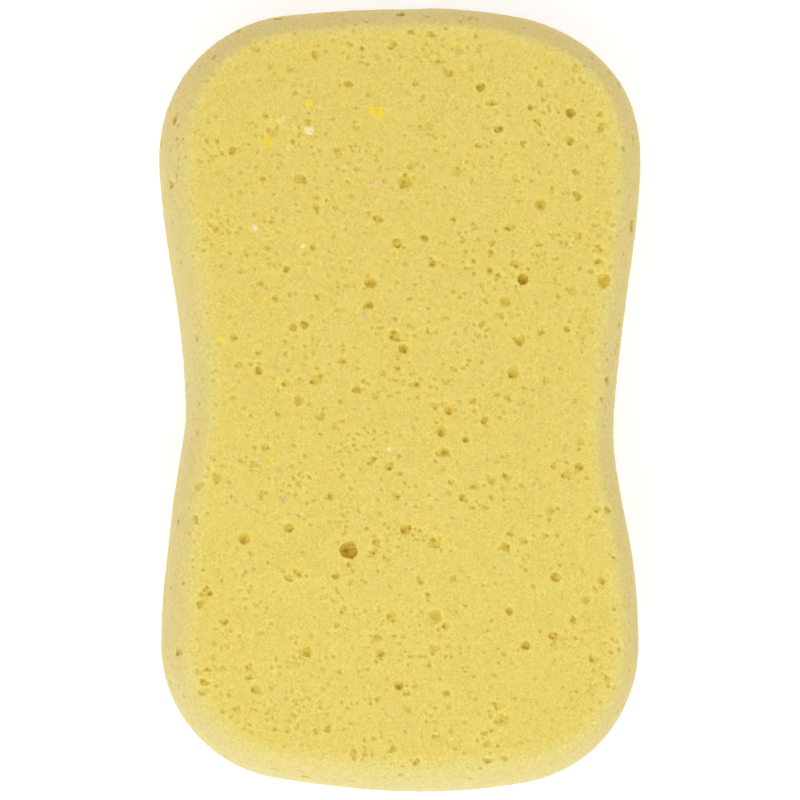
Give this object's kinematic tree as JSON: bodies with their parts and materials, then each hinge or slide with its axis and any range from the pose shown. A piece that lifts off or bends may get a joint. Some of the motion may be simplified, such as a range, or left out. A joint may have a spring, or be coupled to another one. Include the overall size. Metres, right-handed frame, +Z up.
{
  "type": "foam decorating sponge",
  "caption": "Waisted hand sponge of soft open-cell foam with two flat faces, bulging side walls and rounded edges, for wiping, dabbing paint and washing down.",
  "frame": {"origin": "middle of the bounding box at the face the sponge rests on", "axes": "+Y along the sponge's length towards its slightly wider end, +X across its width, +Z up out of the working face"},
  "size_m": [0.1228, 0.2, 0.05],
  "materials": {
    "foam": "matte"
  },
  "bodies": {
    "root": {"sponge_block": "foam"}
  },
  "joints": []
}
